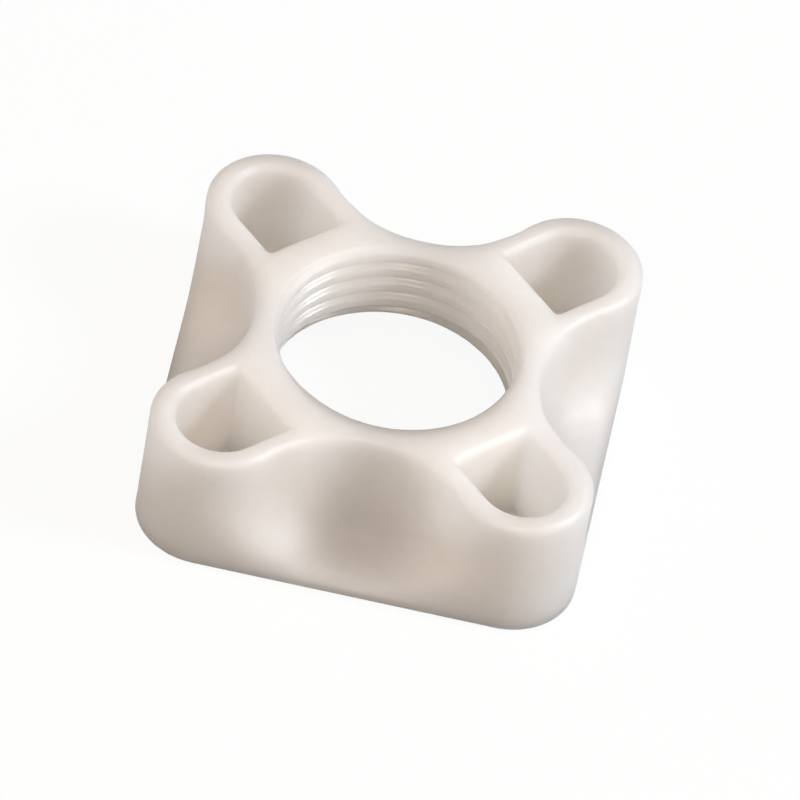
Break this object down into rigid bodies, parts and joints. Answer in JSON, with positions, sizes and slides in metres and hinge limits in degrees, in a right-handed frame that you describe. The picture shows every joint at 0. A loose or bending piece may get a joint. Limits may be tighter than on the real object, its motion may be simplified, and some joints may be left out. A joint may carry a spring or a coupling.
{
  "type": "toilet handle nut",
  "caption": "Square moulded plastic nut with hollow corner lugs and scalloped sides, threaded to clamp a toilet handle to the wall of its tank.",
  "frame": {"origin": "middle of the square base, on the bore's axis", "axes": "+Z along the bore from the base to the flat top of the lugs, X and Y square to the sides of the base"},
  "size_m": [0.0334, 0.0334, 0.0111],
  "materials": {
    "nut_body": "off-white nylon, satin as moulded, slightly translucent"
  },
  "bodies": {
    "root": {"nut_body": "nut_body"}
  },
  "joints": []
}
